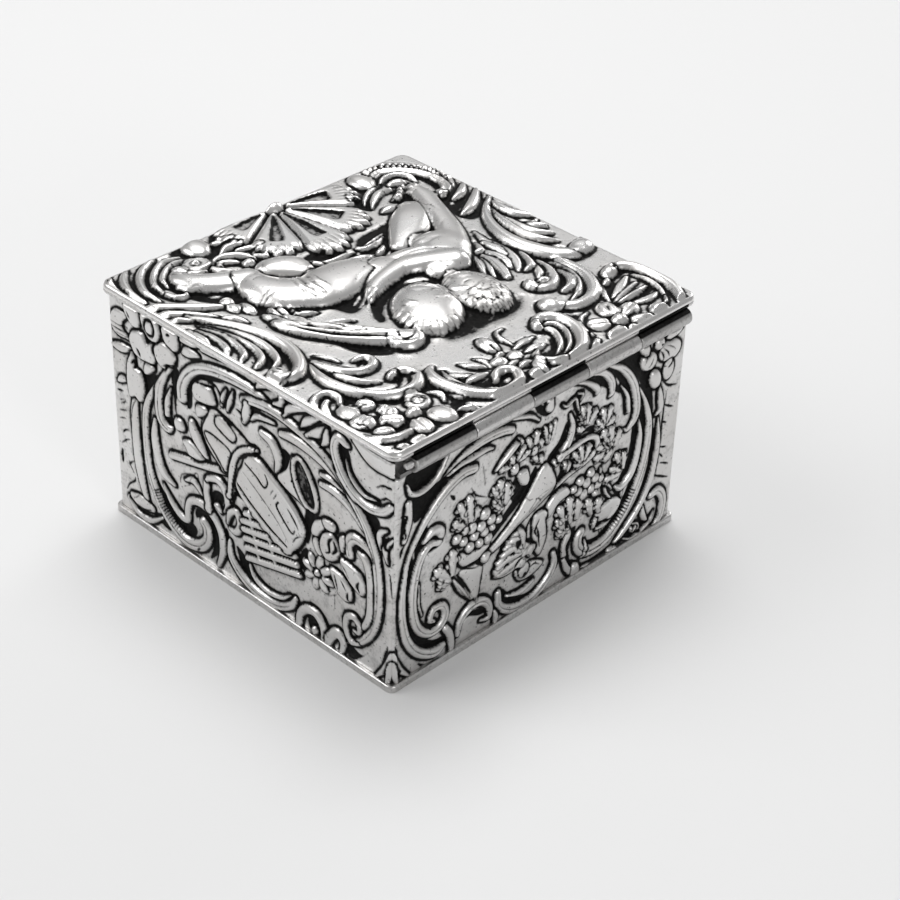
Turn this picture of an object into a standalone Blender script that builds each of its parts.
"""Silver box with a hinged lid.

Four stamped wall panels are soldered between a base plate and a hinged lid. The lid is a
stamped cover on a turned rim, with locating strips below it on the three free sides.
Along the back, five tubes of one joint lie in a gutter strip on one pin: three belong to
the box and two to the lid.

Lengths are in metres. X runs along the hinge, +Y points to the hinge side, +Z is up.
The origin is the middle of the base plate's underside.
"""

import math

import bmesh
import bpy
from mathutils import Matrix, Vector

MM = 0.001

# Driving sizes of the body
BODY_LENGTH = 47.0 * MM
BODY_WIDTH = 47.0 * MM
BODY_HEIGHT = 31.0 * MM
WALL_THICKNESS = 0.7 * MM
BASE_THICKNESS = 0.9 * MM
BASE_OVERHANG = 0.5 * MM
BASE_CORNER_RADIUS = 0.9 * MM
SOLDER_GAP = 0.05 * MM

# Driving sizes of the lid
COVER_THICKNESS = 0.6 * MM
COVER_CORNER_RADIUS = 1.4 * MM
RIM_THICKNESS = 0.5 * MM
RIM_REACH = 0.4 * MM
RIM_CLEARANCE = 0.15 * MM
RIM_INNER_RADIUS = 0.3 * MM
LID_REST_GAP = 0.02 * MM
BEZEL_THICKNESS = 0.5 * MM
BEZEL_REACH = 1.0 * MM
BEZEL_CLEARANCE = 0.15 * MM
BEZEL_BACK_CLEARANCE = 1.0 * MM

# Driving sizes of the hinge
KNUCKLE_RADIUS = 1.05 * MM
KNUCKLE_GAP = 0.1 * MM
BODY_KNUCKLE_COUNT = 3
LID_KNUCKLE_COUNT = 2
HINGE_SET_OUT = 0.35 * MM
HINGE_HEADROOM = 0.1 * MM
JOINT_END_CLEARANCE = 0.45 * MM
PIN_REVEAL = 1.25 * MM
PIN_RADIUS = 0.45 * MM
PIN_RUNNING_GAP = 0.06 * MM
PIN_END_CLEARANCE = 0.3 * MM
PIN_DOME = 0.25 * MM
GUTTER_WIDTH = 1.3 * MM
GUTTER_DEPTH = 3.1 * MM
GUTTER_RUNNING_GAP = 0.06 * MM
LEAF_SINK = 0.25 * MM
LEAF_INSET = 0.2 * MM

# Driving sizes of the stamped ornament
LID_SCROLL_RISE = 0.95 * MM
LID_FIGURE_RISE = 1.9 * MM
LID_LEAF_RISE = 0.8 * MM
LID_ORNAMENT_MARGIN = 0.1 * MM
LID_SCROLL_WIDTH = 1.63 * MM
WALL_RISE = 0.45 * MM
WALL_SCROLL_WIDTH = 1.48 * MM
ORNAMENT_ROOT = 0.15 * MM
GRAPE_RADIUS = 0.8 * MM
GRAPE_PITCH = 1.4 * MM
PIPE_WIDTH = 0.95 * MM
PETAL_WIDTH = 1.1 * MM

# Counts of stations and facets
KNUCKLE_FACETS = 28
CORNER_FACETS = 5
STATIONS_PER_SPAN = 2
DOME_FACETS = 8
GRAPE_FACETS = 6
FIGURE_FACETS = 12
GRAPE_ROWS = (2, 3, 2)
FLOWER_PETALS = 5

# Sizes worked out from the driving ones
COVER_UNDERSIDE = BODY_HEIGHT + LID_REST_GAP
RIM_BOTTOM = BODY_HEIGHT - RIM_REACH
RIM_TOP = COVER_UNDERSIDE
COVER_BOTTOM = COVER_UNDERSIDE + SOLDER_GAP
COVER_TOP = COVER_BOTTOM + COVER_THICKNESS
LID_OVERHANG = RIM_CLEARANCE + RIM_THICKNESS
LID_LENGTH = BODY_LENGTH + 2 * LID_OVERHANG
LID_WIDTH = BODY_WIDTH + 2 * LID_OVERHANG
WALL_BOTTOM = BASE_THICKNESS + SOLDER_GAP
WALL_HEIGHT = BODY_HEIGHT - WALL_BOTTOM
CROSS_WALL_LENGTH = BODY_LENGTH - 2 * (WALL_THICKNESS + SOLDER_GAP)
HINGE_Y = BODY_WIDTH / 2 + HINGE_SET_OUT
HINGE_Z = RIM_BOTTOM - HINGE_HEADROOM - KNUCKLE_RADIUS
GUTTER_BOTTOM = BODY_HEIGHT - GUTTER_DEPTH
BACK_WALL_HEIGHT = GUTTER_BOTTOM - SOLDER_GAP - WALL_BOTTOM
KNUCKLE_COUNT = BODY_KNUCKLE_COUNT + LID_KNUCKLE_COUNT
JOINT_START = BODY_LENGTH / 2 - WALL_THICKNESS - PIN_REVEAL
JOINT_LENGTH = BODY_LENGTH - 2 * WALL_THICKNESS - PIN_REVEAL - JOINT_END_CLEARANCE
KNUCKLE_PITCH = (JOINT_LENGTH + KNUCKLE_GAP) / KNUCKLE_COUNT
KNUCKLE_LENGTH = KNUCKLE_PITCH - KNUCKLE_GAP
PIN_LENGTH = CROSS_WALL_LENGTH - 2 * PIN_END_CLEARANCE

# The cross-section of a raised scroll: places across its half width and of its rise
SCROLL_SECTION_SHARES = ((-1.0, 0.0), (-0.66, 0.74), (0.0, 1.0), (0.66, 0.74), (1.0, 0.0))
# The same on the low ornament of the walls
LOW_SECTION_SHARES = ((-1.0, 0.0), (-0.45, 1.0), (0.45, 1.0), (1.0, 0.0))
# The cross-section of a leaf or petal, with a vein along its middle
LEAF_SECTION_SHARES = ((-1.0, 0.0), (-0.55, 1.0), (0.0, 0.55), (0.55, 1.0), (1.0, 0.0))

# How a leaf or petal swells along its length
LEAF_SWELL_SHARES = (0.25, 0.8, 1.0, 0.85, 0.2)

# How high a ridge is at a point where it has no width, as a share of its rise
END_RISE_SHARE = 0.6
# Where a plate's side bends, and how far its flat top reaches
PLATE_EDGE_SHARE = 0.6
PLATE_TOP_SHARE = 0.9
# Where a petal's middle line runs, and its flower's boss, as shares of the flower's reach
PETAL_PLACE_SHARES = (0.2, 1.0)
FLOWER_BOSS_SHARE = 0.26
FLOWER_BOSS_RISE_SHARE = 1.2

# Lid scrolls and their ribs: points in shares of the lid's half sizes, widths along them and
# rise, as shares of the lid scroll's own
LID_SCROLL_SHARES = (
    (((-0.88, 0.98), (-0.95, 0.86), (-0.97, 0.71), (-0.92, 0.59), (-0.83, 0.57)),
     (0.71, 0.99, 1.00, 0.93, 0.83), 0.89),
    (((-0.07, 0.98), (-0.20, 0.96), (-0.30, 0.88), (-0.34, 0.76), (-0.29, 0.66), (-0.21, 0.68)),
     (0.62, 0.95, 1.04, 1.04, 1.00, 0.79), 0.89),
    (((-0.09, 0.97), (-0.01, 0.92), (-0.04, 0.85)), (0.62, 0.71, 0.46), 0.84),
    (((0.27, 0.88), (0.16, 0.87), (0.23, 0.97), (0.40, 0.92), (0.46, 0.74), (0.39, 0.61)),
     (0.46, 0.77, 0.87, 0.95, 0.98, 0.29), 0.89),
    (((-0.72, 0.29), (-0.74, 0.45), (-0.70, 0.59), (-0.60, 0.68), (-0.48, 0.69), (-0.39, 0.60)),
     (0.21, 0.98, 1.05, 1.09, 1.04, 1.17), 0.89),
    (((-0.67, 0.26), (-0.62, 0.41), (-0.51, 0.48), (-0.46, 0.39)), (0.17, 0.68, 0.88, 0.62), 0.74),
    (((0.60, 0.55), (0.50, 0.56), (0.53, 0.66), (0.67, 0.67), (0.79, 0.55), (0.82, 0.38), (0.77, 0.21)),
     (0.42, 0.78, 0.94, 1.00, 1.00, 0.87, 0.17), 0.89),
    (((0.61, 0.33), (0.55, 0.39), (0.64, 0.43), (0.73, 0.35), (0.76, 0.21)),
     (0.33, 0.70, 0.75, 0.68, 0.21), 0.74),
    (((-0.97, 0.28), (-0.87, 0.35), (-0.77, 0.29), (-0.71, 0.12), (-0.73, -0.06), (-0.82, -0.22),
      (-0.97, -0.34)), (0.75, 1.30, 1.50, 1.36, 1.06, 0.76, 0.29), 1.05),
    (((0.96, 0.24), (0.86, 0.24), (0.77, 0.12), (0.76, -0.06), (0.82, -0.25), (0.92, -0.46)),
     (1.04, 1.03, 1.00, 0.94, 0.78, 0.25), 1.00),
    (((-0.78, -0.53), (-0.88, -0.57), (-0.89, -0.70), (-0.83, -0.83), (-0.73, -0.90), (-0.64, -0.84)),
     (0.92, 0.82, 0.78, 0.75, 0.70, 0.29), 0.74),
    (((0.81, 0.91), (0.93, 0.90), (0.975, 0.81)), (0.50, 0.73, 0.62), 0.68),
    (((0.91, 0.57), (0.89, 0.46), (0.99, 0.50)), (0.29, 0.66, 0.42), 0.68),
    (((-0.84, 0.94), (-0.90, 0.81), (-0.90, 0.67)), (0.21, 0.44, 0.17), 0.63),
    (((-0.13, 0.93), (-0.24, 0.86), (-0.29, 0.76), (-0.24, 0.71)), (0.12, 0.40, 0.42, 0.17), 0.63),
    (((-0.10, 0.91), (-0.21, 0.81), (-0.18, 0.72)), (0.12, 0.54, 0.25), 0.63),
    (((0.29, 0.93), (0.40, 0.83), (0.38, 0.66)), (0.17, 0.44, 0.17), 0.58),
    (((-0.50, 0.64), (-0.62, 0.58), (-0.69, 0.46), (-0.69, 0.31)), (0.17, 0.56, 0.54, 0.12), 0.68),
    (((-0.54, 0.55), (-0.63, 0.51), (-0.68, 0.38)), (0.54, 0.63, 0.12), 0.68),
    (((-0.55, 0.30), (-0.64, 0.21), (-0.67, 0.01)), (0.42, 0.51, 0.12), 0.58),
    (((0.65, 0.54), (0.71, 0.49), (0.75, 0.39), (0.76, 0.27)), (0.21, 0.58, 0.52, 0.12), 0.63),
    (((-0.88, 0.21), (-0.81, 0.09), (-0.82, -0.08), (-0.89, -0.27)), (0.25, 0.74, 0.65, 0.21), 0.79),
    (((-0.91, 0.13), (-0.86, 0.01), (-0.87, -0.19)), (0.42, 0.67, 0.12), 0.63),
    (((-0.97, -0.07), (-0.93, -0.17), (-0.95, -0.31)), (0.71, 0.85, 0.21), 0.63),
    (((0.92, 0.14), (0.82, -0.04), (0.90, -0.34)), (0.33, 0.66, 0.25), 0.68),
    (((0.96, 0.09), (0.87, -0.07), (0.92, -0.37)), (0.54, 0.58, 0.12), 0.63),
    (((-0.74, -0.30), (-0.86, -0.35), (-0.99, -0.46)), (0.54, 0.95, 0.33), 0.74),
    (((-0.82, -0.45), (-0.89, -0.47), (-0.97, -0.53)), (0.50, 0.83, 0.38), 0.68),
    (((-0.81, -0.71), (-0.78, -0.83), (-0.64, -0.81)), (0.25, 0.63, 0.21), 0.63),
    (((0.71, -0.40), (0.84, -0.50), (0.98, -0.65)), (0.33, 0.96, 0.88), 0.68),
    (((0.85, -0.70), (0.81, -0.82), (0.71, -0.91), (0.58, -0.91)), (0.25, 0.55, 0.58, 0.21), 0.63),
    (((0.33, -0.66), (0.41, -0.77), (0.56, -0.75)), (0.42, 0.64, 0.17), 0.63),
    (((-0.07, -0.39), (0.08, -0.39), (0.17, -0.46)), (0.25, 0.45, 0.21), 0.58),
)

# Lid leaves and feathers, in the same shares
LID_LEAF_SHARES = (
    (((-0.66, 0.83), (-0.76, 0.87), (-0.86, 0.86)), (0.17, 0.69, 0.33), 0.50),
    (((0.00, 0.80), (-0.06, 0.81), (-0.13, 0.82)), (0.17, 0.82, 0.17), 0.62),
    (((0.24, 0.81), (0.32, 0.80), (0.38, 0.80)), (0.21, 0.70, 0.12), 0.62),
    (((-0.52, 0.23), (-0.55, 0.14), (-0.54, 0.01)), (0.29, 0.87, 0.29), 0.81),
    (((-0.44, 0.29), (-0.49, 0.17), (-0.51, 0.04)), (0.54, 0.72, 0.17), 0.81),
    (((-0.55, -0.57), (-0.50, -0.59), (-0.45, -0.58)), (0.42, 0.95, 0.33), 0.75),
)

# Petals, buds and bulbs of the lid: centre, half sizes, turn in degrees, share of a leaf's rise
LID_PETAL_SHARES = (
    ((-0.950, 0.340), (0.050, 0.060), 0.0, 1.05),
    ((-0.860, 0.585), (0.055, 0.050), 0.0, 0.98),
    ((-0.391, 0.603), (0.057, 0.066), 20.0, 1.25),
    ((0.943, 0.206), (0.051, 0.057), 0.0, 1.38),
    ((-0.594, -0.889), (0.063, 0.089), 0.0, 0.94),
    ((0.466, -0.911), (0.071, 0.089), -10.0, 0.94),
    ((0.569, -0.803), (0.077, 0.060), 0.0, 0.75),
    ((-0.637, 0.871), (0.063, 0.051), 16.0, 0.75),
    ((-0.446, 0.931), (0.069, 0.040), 14.0, 0.62),
    ((-0.434, 0.869), (0.060, 0.054), -30.0, 0.75),
    ((-0.560, 0.809), (0.066, 0.057), -110.0, 0.81),
    ((-0.529, 0.911), (0.046, 0.043), 0.0, 1.12),
    ((0.629, 0.909), (0.071, 0.060), -60.0, 0.81),
    ((0.754, 0.911), (0.060, 0.054), -100.0, 0.75),
    ((0.634, 0.760), (0.066, 0.060), 30.0, 0.75),
    ((0.823, 0.797), (0.060, 0.051), -40.0, 0.81),
    ((0.717, 0.823), (0.040, 0.037), 0.0, 1.12),
    ((0.786, 0.729), (0.037, 0.054), 20.0, 0.81),
    ((0.826, 0.634), (0.046, 0.046), -50.0, 0.81),
    ((0.923, 0.720), (0.054, 0.063), 20.0, 0.75),
    ((0.080, 0.651), (0.043, 0.074), -6.0, 0.94),
)

# The half fan at the front of the lid: its hub, and each petal's turn in degrees, reach and width
FAN_CENTRE_SHARES = (-0.07, -0.95)
FAN_INNER_SHARE = 0.09
FAN_PETAL_SHARES = (
    (10.0, 0.42, 1.82),
    (31.0, 0.43, 2.41),
    (60.0, 0.46, 3.03),
    (88.0, 0.53, 2.96),
    (117.0, 0.49, 3.04),
    (145.0, 0.46, 2.66),
    (170.0, 0.42, 2.08),
)
FAN_SWELL_SHARES = (0.3, 1.0, 1.25)

# Limbs of the two cherubs: points, widths along them, share of the figure's rise
LID_LIMB_SHARES = (
    (((0.29, 0.39), (0.43, 0.23), (0.56, 0.05), (0.64, -0.09), (0.62, -0.19)),
     (1.98, 2.15, 1.89, 1.36, 0.90), 0.61),
    (((0.24, -0.42), (0.27, -0.49), (0.37, -0.57)), (1.98, 2.78, 0.90), 0.66),
    (((0.49, -0.52), (0.62, -0.59), (0.70, -0.67), (0.72, -0.78)), (2.52, 2.48, 2.07, 0.90), 0.68),
    (((-0.13, -0.14), (0.05, -0.21), (0.16, -0.23), (0.34, -0.21)), (2.34, 4.00, 4.59, 4.05), 0.84),
    (((0.33, -0.21), (0.43, -0.28), (0.49, -0.38), (0.49, -0.50)), (3.96, 3.97, 3.51, 2.70), 0.84),
    (((-0.27, -0.28), (-0.42, -0.37), (-0.55, -0.46), (-0.58, -0.52)), (1.62, 3.13, 3.05, 1.80), 0.71),
    (((-0.26, 0.01), (-0.41, -0.11), (-0.37, -0.19)), (2.79, 4.19, 2.70), 0.76),
    (((-0.36, 0.01), (-0.16, -0.09), (0.02, -0.08), (0.19, 0.00)), (2.52, 2.15, 1.76, 0.90), 0.84),
    (((-0.29, -0.13), (-0.15, -0.18), (-0.03, -0.18)), (2.52, 1.85, 1.35), 0.74),
    (((-0.46, -0.10), (-0.58, -0.25), (-0.69, -0.48), (-0.73, -0.64)), (2.97, 2.32, 1.98, 1.53), 0.68),
)

# Shoulder, belly, hip, knees and hands, in the same way as the heads
LID_BODY_SHARES = (
    ((-0.325, 0.010), (0.150, 0.085), 15.0, 0.80),
    ((-0.320, -0.170), (0.150, 0.100), -20.0, 0.74),
    ((0.360, -0.200), (0.140, 0.130), 0.0, 0.82),
    ((0.485, -0.500), (0.095, 0.090), 0.0, 0.72),
    ((-0.520, -0.450), (0.105, 0.110), 0.0, 0.64),
    ((0.310, 0.405), (0.080, 0.070), 0.0, 0.56),
    ((-0.720, -0.640), (0.050, 0.060), 0.0, 0.46),
)

# Heads of the cherubs: centre, half sizes, turn in degrees, share of the figure's rise
LID_HEAD_SHARES = (
    ((0.023, 0.200), (0.174, 0.189), -16.0, 0.97),
    ((-0.229, 0.286), (0.140, 0.209), -6.0, 0.89),
)

# The music die of the two side walls: scrolls in shares of half the wall's length and height,
# with their widths along them
MUSIC_SCROLL_SHARES = (
    (((-0.61, 0.51), (-0.74, 0.06), (-0.73, -0.44), (-0.56, -0.80), (-0.34, -0.81), (-0.32, -0.58)),
     (0.15, 0.85, 1.00, 1.60, 1.60, 1.00)),
    (((-0.49, 0.68), (-0.61, 0.43), (-0.63, 0.15), (-0.54, 0.09)), (0.15, 0.82, 1.00, 0.36)),
    (((-0.63, -0.47), (-0.46, -0.67), (-0.39, -0.44), (-0.20, -0.54), (-0.22, -0.89)),
     (0.23, 0.69, 0.79, 0.79, 0.45)),
    (((0.24, 0.81), (-0.08, 0.85), (-0.35, 0.73), (-0.45, 0.44)), (0.18, 1.04, 1.05, 1.14)),
    (((0.00, 0.73), (0.36, 0.76), (0.70, 0.52), (0.89, 0.07), (0.89, -0.49), (0.70, -0.81)),
     (0.68, 0.82, 0.80, 0.91, 0.90, 0.27)),
    (((0.72, -0.03), (0.75, 0.14), (0.87, 0.05)), (0.77, 1.01, 0.23)),
    (((0.37, -0.89), (0.48, -0.73), (0.55, -0.88)), (0.68, 0.92, 0.77)),
    (((-0.13, -0.60), (0.07, -0.86), (0.35, -0.73)), (0.45, 1.25, 0.50)),
    (((0.70, 0.87), (0.62, 0.75), (0.78, 0.50), (0.98, 0.57)), (0.59, 0.83, 0.90, 0.68)),
    (((-0.06, 0.22), (-0.12, -0.24)), (0.59, 0.45)),
    (((0.13, 0.55), (0.22, 0.48), (0.23, 0.29)), (0.68, 0.94, 0.41)),
    (((-0.55, -0.14), (-0.13, 0.00)), (0.80, 0.80)),
    (((-0.66, -0.03), (-0.62, -0.25), (-0.54, -0.42)), (0.40, 1.10, 0.50)),
    (((-0.40, 0.28), (-0.32, 0.06)), (0.90, 0.70)),
)

# The lute's body, the trumpet's bell, two staffs, the lute's back and three leaves: the corners
# of each outline, and its share of the rise
MUSIC_PLATE_SHARES = (
    (((-0.24, 0.48), (-0.13, 0.47), (0.00, 0.40), (0.28, 0.16), (0.39, 0.01), (0.41, -0.14), (0.30, -0.28),
     (0.03, -0.18), (-0.20, 0.04), (-0.29, 0.16), (-0.31, 0.31)), 0.64),
    (((0.36, 0.52), (0.44, 0.49), (0.50, 0.34), (0.49, 0.18), (0.46, 0.13), (0.23, 0.25)), 0.58),
    (((-0.955, 0.20), (-0.885, 0.20), (-0.885, -0.56), (-0.955, -0.56)), 0.64),
    (((-0.85, 0.18), (-0.79, 0.18), (-0.775, -0.70), (-0.805, -0.70)), 0.70),
    (((-0.01, 0.16), (0.02, 0.26), (0.10, 0.31), (0.20, 0.24), (0.37, 0.06), (0.42, -0.07), (0.41, -0.18),
     (0.32, -0.35), (0.14, -0.27), (-0.06, -0.05)), 1.10),
    (((-0.82, 0.57), (-0.80, 0.45), (-0.74, 0.36), (-0.75, 0.19), (-0.81, 0.18), (-0.87, 0.22),
     (-0.86, 0.45)), 0.90),
    (((0.66, -0.10), (0.80, -0.14), (0.83, -0.23), (0.81, -0.31), (0.77, -0.30), (0.71, -0.25),
     (0.67, -0.18)), 0.85),
    (((0.59, -0.24), (0.67, -0.24), (0.73, -0.31), (0.74, -0.41), (0.70, -0.45), (0.64, -0.41),
     (0.61, -0.33)), 0.95),
)

# Roses, buds and the petals of a corner flower: centre, half sizes, turn in degrees
MUSIC_DOME_SHARES = (
    ((0.560, -0.036), (0.083, 0.139), 0.0),
    ((-0.290, 0.580), (0.085, 0.110), 0.0),
    ((-0.385, 0.025), (0.075, 0.055), -20.0),
    ((-0.810, 0.880), (0.055, 0.095), 0.0),
    ((-0.520, 0.880), (0.055, 0.095), 0.0),
    ((-0.740, 0.667), (0.089, 0.114), 0.0),
    ((-0.560, 0.701), (0.074, 0.109), 0.0),
    ((-0.666, 0.874), (0.069, 0.105), 0.0),
)

# The daisy: its centre, reach and first petal's turn
MUSIC_FLOWER_SHARES = (((0.51, -0.36), 0.10, 0.0),)

# The six pan pipes, from mouth to foot
PIPE_SHARES = (
    ((0.000, -0.246), (0.111, -0.192)),
    ((-0.014, -0.326), (0.150, -0.259)),
    ((-0.011, -0.398), (0.231, -0.305)),
    ((-0.009, -0.474), (0.349, -0.343)),
    ((0.000, -0.554), (0.360, -0.415)),
    ((0.009, -0.638), (0.380, -0.486)),
)

# The fruit die of the front and back walls, in the same way
FRUIT_SCROLL_SHARES = (
    (((-0.50, 0.55), (-0.73, 0.45), (-0.91, 0.10), (-0.93, -0.37), (-0.85, -0.76), (-0.66, -0.85)),
     (0.77, 0.80, 0.50, 0.73, 0.90, 0.55)),
    (((-0.26, 0.71), (-0.47, 0.73), (-0.69, 0.62)), (0.68, 0.79, 0.15)),
    (((-0.72, 0.09), (-0.86, -0.05), (-0.87, -0.44), (-0.74, -0.67), (-0.69, -0.48), (-0.73, -0.59)),
     (0.59, 0.81, 0.86, 0.84, 0.77, 0.27)),
    (((-0.57, -0.84), (-0.41, -0.66), (-0.41, -0.84)), (0.45, 0.91, 0.27)),
    (((-0.30, -0.68), (-0.20, -0.86), (0.02, -0.85), (0.09, -0.62)), (0.68, 0.96, 0.94, 0.55)),
    (((0.40, 0.75), (0.58, 0.58), (0.64, 0.26), (0.57, 0.15)), (0.23, 0.85, 0.83, 0.18)),
    (((0.66, 0.45), (0.76, 0.03), (0.71, -0.40), (0.54, -0.75), (0.32, -0.78), (0.29, -0.58)),
     (0.15, 0.77, 0.86, 1.11, 1.10, 0.91)),
    (((0.67, 0.17), (0.66, -0.23), (0.53, -0.35)), (0.15, 0.82, 0.36)),
    (((0.83, 0.07), (0.80, -0.50), (0.56, -0.88)), (0.18, 0.67, 0.32)),
    (((0.15, 0.56), (0.16, 0.36), (0.06, 0.20)), (0.27, 0.76, 0.91)),
    (((0.09, 0.23), (0.34, 0.23), (0.29, 0.06), (0.00, -0.06)), (0.68, 0.58, 0.46, 0.15)),
)

# The horn, the goblet and a leaf: the corners of each outline, and its share of the rise
FRUIT_PLATE_SHARES = (
    (((-0.05, 0.22), (0.06, 0.12), (0.07, 0.01), (0.00, -0.07), (-0.20, -0.18), (-0.40, -0.29),
     (-0.41, -0.25), (-0.21, -0.07)), 1.20),
    (((-0.61, -0.29), (-0.53, -0.26), (-0.41, -0.35), (-0.42, -0.47), (-0.43, -0.59), (-0.50, -0.62)), 0.95),
    (((0.10, -0.21), (0.20, -0.21), (0.25, -0.43), (0.21, -0.51), (0.10, -0.45)), 0.85),
)

# Leaves: three points on the middle line, and the width
FRUIT_LEAF_SHARES = (
    ((-0.53, 0.07), (-0.55, 0.20), (-0.57, 0.33), 2.36),
    ((-0.31, 0.09), (-0.34, 0.20), (-0.37, 0.31), 1.82),
    ((-0.67, -0.35), (-0.67, -0.21), (-0.66, -0.06), 2.73),
    ((-0.20, -0.52), (-0.24, -0.41), (-0.29, -0.31), 3.00),
    ((-0.14, -0.60), (-0.16, -0.42), (-0.17, -0.24), 2.73),
    ((0.51, -0.24), (0.53, -0.16), (0.54, -0.07), 2.27),
)

# Buds of the upper corner on the right: centre, half sizes, turn in degrees
FRUIT_DOME_SHARES = (
    ((0.711, 0.642), (0.066, 0.080), -30.0),
    ((0.866, 0.638), (0.080, 0.093), -10.0),
    ((0.774, 0.448), (0.043, 0.093), 20.0),
)

# The first row of each bunch of grapes
GRAPE_CENTRE_SHARES = ((-0.46, 0.09), (0.31, -0.08))


def remove_all_objects():
    """Empty the scene before the box is built."""
    for item in list(bpy.data.objects):
        bpy.data.objects.remove(item, do_unlink=True)


def silver(name, shade, roughness):
    """Make the silver of one piece."""
    material = bpy.data.materials.new(name)
    material.use_nodes = True
    shader = material.node_tree.nodes["Principled BSDF"]
    shader.inputs["Base Color"].default_value = (shade, shade, shade * 0.98, 1.0)
    shader.inputs["Roughness"].default_value = roughness
    shader.inputs["Metallic"].default_value = 1.0
    return material


def add_piece(name, bm, parent, shade=0.78, roughness=0.3, location=(0, 0, 0), turn=0.0):
    """Turn a bmesh into a named object that hangs on its body's empty."""
    bmesh.ops.recalc_face_normals(bm, faces=bm.faces)
    mesh = bpy.data.meshes.new(name)
    bm.to_mesh(mesh)
    bm.free()
    mesh.materials.append(silver(name, shade, roughness))
    piece = bpy.data.objects.new(name, mesh)
    bpy.context.scene.collection.objects.link(piece)
    piece.parent = parent
    piece.location = Vector(location) - parent.location
    piece.rotation_euler = (0.0, 0.0, turn)
    return piece


def add_empty(name, location):
    """Add the empty that carries one rigid body."""
    empty = bpy.data.objects.new(name, None)
    bpy.context.scene.collection.objects.link(empty)
    empty.location = location
    return empty


def extrude_outline(outline, depth, frame):
    """Make a prism from a flat outline, placed by a matrix."""
    bm = bmesh.new()
    vertices = [bm.verts.new(frame @ Vector((x, y, 0))) for x, y in outline]
    face = bm.faces.new(vertices)
    result = bmesh.ops.extrude_face_region(bm, geom=[face])
    moved = [item for item in result["geom"] if isinstance(item, bmesh.types.BMVert)]
    bmesh.ops.translate(bm, verts=moved, vec=frame.to_3x3() @ Vector((0, 0, depth)))
    return bm


def rounded_rectangle(length, width, radius):
    """List the corners of a rectangle whose corners are arcs."""
    outline = []
    for quarter, (side_x, side_y) in enumerate(((1, 1), (-1, 1), (-1, -1), (1, -1))):
        centre_x = side_x * (length / 2 - radius)
        centre_y = side_y * (width / 2 - radius)
        for step in range(CORNER_FACETS + 1):
            angle = math.radians(90) * (quarter + step / CORNER_FACETS)
            outline.append((centre_x + radius * math.cos(angle), centre_y + radius * math.sin(angle)))
    return outline


def box_mesh(length, width, height, centre):
    """Make a block round a centre."""
    bm = bmesh.new()
    size = Matrix.Diagonal((length, width, height, 1.0))
    bmesh.ops.create_cube(bm, size=1.0, matrix=Matrix.Translation(centre) @ size)
    return bm


def smooth_path(points, stations):
    """Read stations from a Catmull-Rom curve through the points."""
    ends = [2 * points[0] - points[1]] + list(points) + [2 * points[-1] - points[-2]]
    path = []
    for station in range(stations):
        place = station / (stations - 1) * (len(points) - 1)
        index = min(int(place), len(points) - 2)
        t = place - index
        before, start, end, after = ends[index:index + 4]
        path.append(0.5 * (2 * start + (end - before) * t
                           + (2 * before - 5 * start + 4 * end - after) * t ** 2
                           + (3 * start - before - 3 * end + after) * t ** 3))
    return path


def read_share(shares, place):
    """Read a row of shares at a place from 0 to 1, in straight steps."""
    position = place * (len(shares) - 1)
    index = min(int(position), len(shares) - 2)
    return shares[index] + (shares[index + 1] - shares[index]) * (position - index)


def add_ridge(bm, points, width, rise, swell_shares, section_shares):
    """Sweep a raised section along a curve and close both its ends."""
    stations = STATIONS_PER_SPAN * (len(points) - 1) + 1
    path = smooth_path([Vector(point) for point in points], stations)
    widest = max(swell_shares)
    rings = []
    for index, centre in enumerate(path):
        behind = path[max(index - 1, 0)]
        ahead = path[min(index + 1, len(path) - 1)]
        along = (ahead - behind).normalized()
        across = Vector((-along.y, along.x))
        swell = read_share(swell_shares, index / (len(path) - 1))
        ring = []
        for side, lift in section_shares:
            place = centre + across * side * swell * width / 2
            height = lift * rise * (END_RISE_SHARE + (1 - END_RISE_SHARE) * swell / widest)
            if lift == 0:
                height = -ORNAMENT_ROOT
            ring.append(bm.verts.new((place.x, place.y, height)))
        rings.append(ring)
    for first, second in zip(rings, rings[1:]):
        for index in range(len(first)):
            after = (index + 1) % len(first)
            bm.faces.new((first[index], first[after], second[after], second[index]))
    bm.faces.new(rings[0])
    bm.faces.new(list(reversed(rings[-1])))


def add_dome(bm, centre, half_sizes, turn, rise, facets=DOME_FACETS):
    """Add a squashed ball whose upper half stands out of the sheet."""
    frame = Matrix.Translation((centre[0], centre[1], 0)) @ Matrix.Rotation(turn, 4, "Z")
    size = Matrix.Diagonal((half_sizes[0], half_sizes[1], rise, 1.0))
    ball = bmesh.ops.create_uvsphere(bm, u_segments=facets, v_segments=facets // 2, radius=1.0,
                                     matrix=frame @ size)
    for vertex in ball["verts"]:
        vertex.co.z = max(vertex.co.z, -ORNAMENT_ROOT)


def add_plate(bm, outline, rise):
    """Raise a flat shape with bevelled sides inside an outline."""
    corners = [Vector(corner) for corner in outline]
    middle = sum(corners, Vector((0, 0))) / len(corners)
    rings = []
    for share, height in ((1.0, -ORNAMENT_ROOT), (1.0, rise * PLATE_EDGE_SHARE), (PLATE_TOP_SHARE, rise)):
        places = [middle + (corner - middle) * share for corner in corners]
        rings.append([bm.verts.new((place.x, place.y, height)) for place in places])
    for first, second in zip(rings, rings[1:]):
        for index in range(len(corners)):
            after = (index + 1) % len(corners)
            bm.faces.new((first[index], first[after], second[after], second[index]))
    bm.faces.new(rings[0])
    bm.faces.new(list(reversed(rings[-1])))


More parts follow.
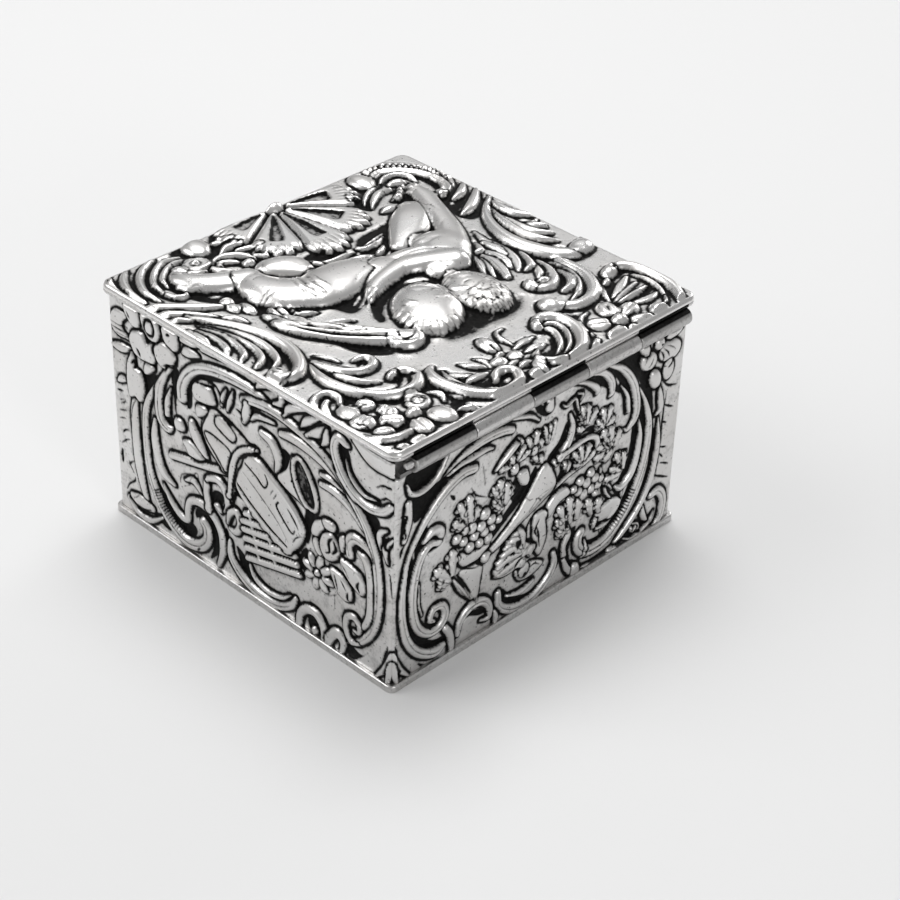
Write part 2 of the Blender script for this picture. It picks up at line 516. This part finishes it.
def add_flower(bm, centre, reach, turn, petal_width, rise):
    """Add a ring of petals round a boss."""
    for petal in range(FLOWER_PETALS):
        angle = turn + petal * math.tau / FLOWER_PETALS
        outward = Vector((math.cos(angle), math.sin(angle)))
        points = [Vector(centre) + outward * reach * share for share in PETAL_PLACE_SHARES]
        add_ridge(bm, points, petal_width, rise, LEAF_SWELL_SHARES, LEAF_SECTION_SHARES)
    boss = reach * FLOWER_BOSS_SHARE
    add_dome(bm, centre, (boss, boss), 0.0, rise * FLOWER_BOSS_RISE_SHARE)


def scaled(shares, half_length, half_width):
    """Turn points in shares of a panel's half sizes into places on it."""
    return [(u * half_length, v * half_width) for u, v in shares]


def join_ornament(name, plate, ornament, parent):
    """Unite the ornament with its sheet, so that the stamping is one piece."""
    cutter = add_piece(name + "_ornament", ornament, parent)
    cutter.hide_render = True
    cutter.display_type = "WIRE"
    cutter.location = plate.location
    cutter.rotation_euler = plate.rotation_euler
    union = plate.modifiers.new("stamping", "BOOLEAN")
    union.operation = "UNION"
    union.solver = "EXACT"
    union.use_self = True
    union.object = cutter


def lid_ornament():
    """Raise the scrolls, leaves, flowers, fan and cherubs of the lid."""
    half_length = LID_LENGTH / 2 - LID_ORNAMENT_MARGIN
    half_width = LID_WIDTH / 2 - LID_ORNAMENT_MARGIN
    bm = bmesh.new()
    for shares, widths, rise_share in LID_SCROLL_SHARES:
        add_ridge(bm, scaled(shares, half_length, half_width), LID_SCROLL_WIDTH,
                  LID_SCROLL_RISE * rise_share, widths, SCROLL_SECTION_SHARES)
    for shares, widths, rise_share in LID_LEAF_SHARES:
        add_ridge(bm, scaled(shares, half_length, half_width), LID_SCROLL_WIDTH,
                  LID_LEAF_RISE * rise_share, widths, LEAF_SECTION_SHARES)
    for centre, halves, turn, rise_share in LID_PETAL_SHARES:
        place, sizes = scaled([centre, halves], half_length, half_width)
        add_dome(bm, place, sizes, math.radians(turn), LID_LEAF_RISE * rise_share)
    hub = Vector(scaled([FAN_CENTRE_SHARES], half_length, half_width)[0])
    for turn, reach, width_share in FAN_PETAL_SHARES:
        outward = Vector((math.cos(math.radians(turn)), math.sin(math.radians(turn))))
        inner = hub + outward * FAN_INNER_SHARE * half_length
        outer = hub + outward * reach * half_length
        add_ridge(bm, [inner, outer], LID_SCROLL_WIDTH * width_share,
                  LID_LEAF_RISE, FAN_SWELL_SHARES, LEAF_SECTION_SHARES)
    for shares, widths, rise_share in LID_LIMB_SHARES:
        add_ridge(bm, scaled(shares, half_length, half_width), LID_SCROLL_WIDTH,
                  LID_FIGURE_RISE * rise_share, widths, SCROLL_SECTION_SHARES)
    for centre, halves, turn, rise_share in LID_BODY_SHARES:
        place, sizes = scaled([centre, halves], half_length, half_width)
        add_dome(bm, place, sizes, math.radians(turn), LID_FIGURE_RISE * rise_share)
    for centre, halves, turn, rise_share in LID_HEAD_SHARES:
        place, sizes = scaled([centre, halves], half_length, half_width)
        add_dome(bm, place, sizes, math.radians(turn), LID_FIGURE_RISE * rise_share,
                 facets=FIGURE_FACETS)
    return bm


def music_ornament():
    """Raise the oval of scrolls and the instruments of a side wall."""
    half_length = BODY_LENGTH / 2
    half_height = BODY_HEIGHT / 2
    bm = bmesh.new()
    for shares, widths in MUSIC_SCROLL_SHARES:
        add_ridge(bm, scaled(shares, half_length, half_height), WALL_SCROLL_WIDTH, WALL_RISE, widths,
                  LOW_SECTION_SHARES)
    for outline, rise_share in MUSIC_PLATE_SHARES:
        add_plate(bm, scaled(outline, half_length, half_height), WALL_RISE * rise_share)
    for centre, halves, turn in MUSIC_DOME_SHARES:
        place, sizes = scaled([centre, halves], half_length, half_height)
        add_dome(bm, place, sizes, math.radians(turn), WALL_RISE)
    for centre, reach, turn in MUSIC_FLOWER_SHARES:
        place = scaled([centre], half_length, half_height)[0]
        add_flower(bm, place, reach * half_length, math.radians(turn), PETAL_WIDTH, WALL_RISE)
    for pipe in PIPE_SHARES:
        add_ridge(bm, scaled(pipe, half_length, half_height), PIPE_WIDTH, WALL_RISE, (1.0, 1.0),
                  LOW_SECTION_SHARES)
    return bm


def fruit_ornament():
    """Raise the scrolls, horns, leaves and grapes of the front or back wall."""
    half_length = BODY_LENGTH / 2
    half_height = BODY_HEIGHT / 2
    bm = bmesh.new()
    for shares, widths in FRUIT_SCROLL_SHARES:
        add_ridge(bm, scaled(shares, half_length, half_height), WALL_SCROLL_WIDTH, WALL_RISE, widths,
                  LOW_SECTION_SHARES)
    for outline, rise_share in FRUIT_PLATE_SHARES:
        add_plate(bm, scaled(outline, half_length, half_height), WALL_RISE * rise_share)
    for *shares, width_share in FRUIT_LEAF_SHARES:
        points = scaled(shares, half_length, half_height)
        width = WALL_SCROLL_WIDTH * width_share
        add_ridge(bm, points, width, WALL_RISE, LEAF_SWELL_SHARES, LEAF_SECTION_SHARES)
    for centre, halves, turn in FRUIT_DOME_SHARES:
        place, sizes = scaled([centre, halves], half_length, half_height)
        add_dome(bm, place, sizes, math.radians(turn), WALL_RISE)
    for centre in scaled(GRAPE_CENTRE_SHARES, half_length, half_height):
        for row, grapes in enumerate(GRAPE_ROWS):
            for grape in range(grapes):
                x = centre[0] + (grape - (grapes - 1) / 2) * GRAPE_PITCH
                y = centre[1] - row * math.sqrt(3) / 2 * GRAPE_PITCH
                add_dome(bm, (x, y), (GRAPE_RADIUS, GRAPE_RADIUS), 0.0, WALL_RISE,
                         facets=GRAPE_FACETS)
    return bm


def build_base(box):
    """Make the base plate, whose edge shows as a thin step round the foot."""
    outline = rounded_rectangle(BODY_LENGTH + 2 * BASE_OVERHANG, BODY_WIDTH + 2 * BASE_OVERHANG,
                                BASE_CORNER_RADIUS)
    add_piece("base_plate", extrude_outline(outline, BASE_THICKNESS, Matrix.Identity(4)), box)


def wall_blank(length, height):
    """Make a wall's plain sheet, its outer face on z = 0 and its middle at body mid-height."""
    centre = (0, (WALL_BOTTOM + height / 2) - BODY_HEIGHT / 2, -WALL_THICKNESS / 2)
    return box_mesh(length, height, WALL_THICKNESS, centre)


def stand_up(bm):
    """Stand a panel that was drawn flat up on its edge, facing -Y."""
    turn = Matrix.Rotation(math.radians(90), 4, "X")
    bmesh.ops.transform(bm, matrix=turn, verts=bm.verts)
    return bm


def build_walls(box):
    """Stamp the four walls and set them round the base plate."""
    walls = (
        ("front_wall", CROSS_WALL_LENGTH, WALL_HEIGHT, fruit_ornament, 0, BODY_WIDTH),
        ("right_wall", BODY_WIDTH, WALL_HEIGHT, music_ornament, 1, BODY_LENGTH),
        ("back_wall", CROSS_WALL_LENGTH, BACK_WALL_HEIGHT, fruit_ornament, 2, BODY_WIDTH),
        ("left_wall", BODY_WIDTH, WALL_HEIGHT, music_ornament, 3, BODY_LENGTH),
    )
    for name, length, height, ornament, quarter, across in walls:
        turn = math.radians(90) * quarter
        outward = Vector((math.sin(turn), -math.cos(turn), 0))
        place = outward * across / 2 + Vector((0, 0, BODY_HEIGHT / 2))
        wall = add_piece(name, stand_up(wall_blank(length, height)), box, location=place, turn=turn)
        join_ornament(name, wall, stand_up(ornament()), box)


def build_gutter(box):
    """Make the gutter strip on the back wall, hollowed to take the hinge tubes."""
    radius = KNUCKLE_RADIUS + GUTTER_RUNNING_GAP
    half_mouth = math.acos(HINGE_SET_OUT / radius)
    face_y = BODY_WIDTH / 2
    outline = [(face_y, BODY_HEIGHT), (face_y - GUTTER_WIDTH, BODY_HEIGHT),
               (face_y - GUTTER_WIDTH, GUTTER_BOTTOM), (face_y, GUTTER_BOTTOM)]
    steps = KNUCKLE_FACETS // 2
    for step in range(steps + 1):
        angle = math.pi + half_mouth * (1 - 2 * step / steps)
        outline.append((HINGE_Y + radius * math.cos(angle), HINGE_Z + radius * math.sin(angle)))
    gutter = extrude_outline(outline, CROSS_WALL_LENGTH, along_hinge(-CROSS_WALL_LENGTH / 2))
    add_piece("hinge_gutter", gutter, box)


def along_hinge(start):
    """Give the frame whose outline lies in the YZ plane and whose depth runs along +X."""
    frame = Matrix(((0, 0, 1, 0), (1, 0, 0, 0), (0, 1, 0, 0), (0, 0, 0, 1)))
    return Matrix.Translation((start, 0, 0)) @ frame


def ring_mesh(outer, inner, length, start):
    """Make a tube along the hinge axis, in the frame of that axis."""
    bm = bmesh.new()
    angles = [math.tau * step / KNUCKLE_FACETS for step in range(KNUCKLE_FACETS)]
    corners = ((start, outer), (start + length, outer), (start + length, inner), (start, inner))
    rings = [[bm.verts.new((place, radius * math.cos(a), radius * math.sin(a))) for a in angles]
             for place, radius in corners]
    for first, second in zip(rings, rings[1:] + rings[:1]):
        for index in range(KNUCKLE_FACETS):
            after = (index + 1) % KNUCKLE_FACETS
            bm.faces.new((first[index], first[after], second[after], second[index]))
    return bm


def shade_round(piece):
    """Shade a round piece smooth, with its ends left crisp."""
    piece.data.shade_smooth()
    piece.data.set_sharp_from_angle(angle=math.radians(35))


def build_hinge(box, lid):
    """Make the five tubes of the joint and the pin through them."""
    bore = PIN_RADIUS + PIN_RUNNING_GAP
    axis = (0, HINGE_Y, HINGE_Z)
    leaf_top = RIM_BOTTOM - SOLDER_GAP - HINGE_Z
    leaf_bottom = KNUCKLE_RADIUS - LEAF_SINK
    leaf_inner = BODY_WIDTH / 2 + RIM_CLEARANCE - HINGE_Y
    for index in range(KNUCKLE_COUNT):
        start = JOINT_START - index * KNUCKLE_PITCH - KNUCKLE_LENGTH
        tube = ring_mesh(KNUCKLE_RADIUS, bore, KNUCKLE_LENGTH, start)
        if index % 2 == 0:
            piece = add_piece(f"body_knuckle_{index // 2 + 1}", tube, box, location=axis)
            shade_round(piece)
            continue
        name = f"lid_knuckle_{index // 2 + 1}"
        piece = add_piece(name, tube, lid, location=axis)
        centre = (start + KNUCKLE_LENGTH / 2, leaf_inner + RIM_THICKNESS / 2,
                  (leaf_top + leaf_bottom) / 2)
        leaf = box_mesh(KNUCKLE_LENGTH - 2 * LEAF_INSET, RIM_THICKNESS, leaf_top - leaf_bottom, centre)
        cutter = add_piece(name + "_leaf", leaf, lid, location=axis)
        cutter.hide_render = True
        cutter.display_type = "WIRE"
        union = piece.modifiers.new("leaf", "BOOLEAN")
        union.operation = "UNION"
        union.solver = "EXACT"
        union.object = cutter
        shade_round(piece)
    build_pin(box, axis)


def build_pin(box, axis):
    """Turn the hinge pin, with a low dome on each end."""
    half = PIN_LENGTH / 2
    profile = ((-half, 0.0), (-half, PIN_RADIUS - PIN_DOME), (-half + PIN_DOME, PIN_RADIUS),
               (half - PIN_DOME, PIN_RADIUS), (half, PIN_RADIUS - PIN_DOME), (half, 0.0))
    bm = bmesh.new()
    vertices = [bm.verts.new((x, radius, 0)) for x, radius in profile]
    edges = [bm.edges.new(pair) for pair in zip(vertices, vertices[1:])]
    bmesh.ops.spin(bm, geom=vertices + edges, cent=(0, 0, 0), axis=(1, 0, 0),
                   angle=math.tau, steps=KNUCKLE_FACETS, use_merge=True)
    bmesh.ops.remove_doubles(bm, verts=bm.verts, dist=PIN_RADIUS / 1000)
    shade_round(add_piece("hinge_pin", bm, box, shade=0.7, location=axis))


def build_lid(lid):
    """Make the stamped cover, its rim and the locating strips below it."""
    cover_outline = rounded_rectangle(LID_LENGTH, LID_WIDTH, COVER_CORNER_RADIUS)
    cover = extrude_outline(cover_outline, -COVER_THICKNESS, Matrix.Identity(4))
    piece = add_piece("lid_cover", cover, lid, shade=0.82, roughness=0.25, location=(0, 0, COVER_TOP))
    join_ornament("lid_cover", piece, lid_ornament(), lid)
    outer = rounded_rectangle(LID_LENGTH, LID_WIDTH, COVER_CORNER_RADIUS)
    inner = rounded_rectangle(LID_LENGTH - 2 * RIM_THICKNESS, LID_WIDTH - 2 * RIM_THICKNESS,
                              RIM_INNER_RADIUS)
    bm = bmesh.new()
    loops = [[bm.verts.new((x, y, z)) for x, y in outline]
             for z in (RIM_BOTTOM, RIM_TOP) for outline in (outer, inner)]
    count = len(outer)
    for first, second in ((0, 2), (1, 3), (0, 1), (2, 3)):
        for index in range(count):
            after = (index + 1) % count
            bm.faces.new((loops[first][index], loops[first][after],
                          loops[second][after], loops[second][index]))
    add_piece("lid_rim", bm, lid, shade=0.82, roughness=0.25)
    build_bezel(lid)


def build_bezel(lid):
    """Make the strips that drop inside the front and side walls when the lid is shut."""
    top = COVER_BOTTOM - SOLDER_GAP
    bottom = BODY_HEIGHT - BEZEL_REACH
    height = top - bottom
    level = (top + bottom) / 2
    set_in = WALL_THICKNESS + BEZEL_CLEARANCE
    half_length = BODY_LENGTH / 2 - set_in
    half_width = BODY_WIDTH / 2 - set_in
    front = box_mesh(2 * half_length, BEZEL_THICKNESS, height, (0, -half_width + BEZEL_THICKNESS / 2, level))
    add_piece("lid_bezel_front", front, lid)
    start = -half_width + BEZEL_THICKNESS + SOLDER_GAP
    end = BODY_WIDTH / 2 - GUTTER_WIDTH - BEZEL_BACK_CLEARANCE
    for name, side in (("lid_bezel_right", 1), ("lid_bezel_left", -1)):
        centre = (side * (half_length - BEZEL_THICKNESS / 2), (start + end) / 2, level)
        add_piece(name, box_mesh(BEZEL_THICKNESS, end - start, height, centre), lid)


def build_box():
    """Build the whole box, shut."""
    remove_all_objects()
    box = add_empty("box_body", (0, 0, 0))
    lid = add_empty("lid_body", (0, HINGE_Y, HINGE_Z))
    build_base(box)
    build_walls(box)
    build_gutter(box)
    build_hinge(box, lid)
    build_lid(lid)


build_box()
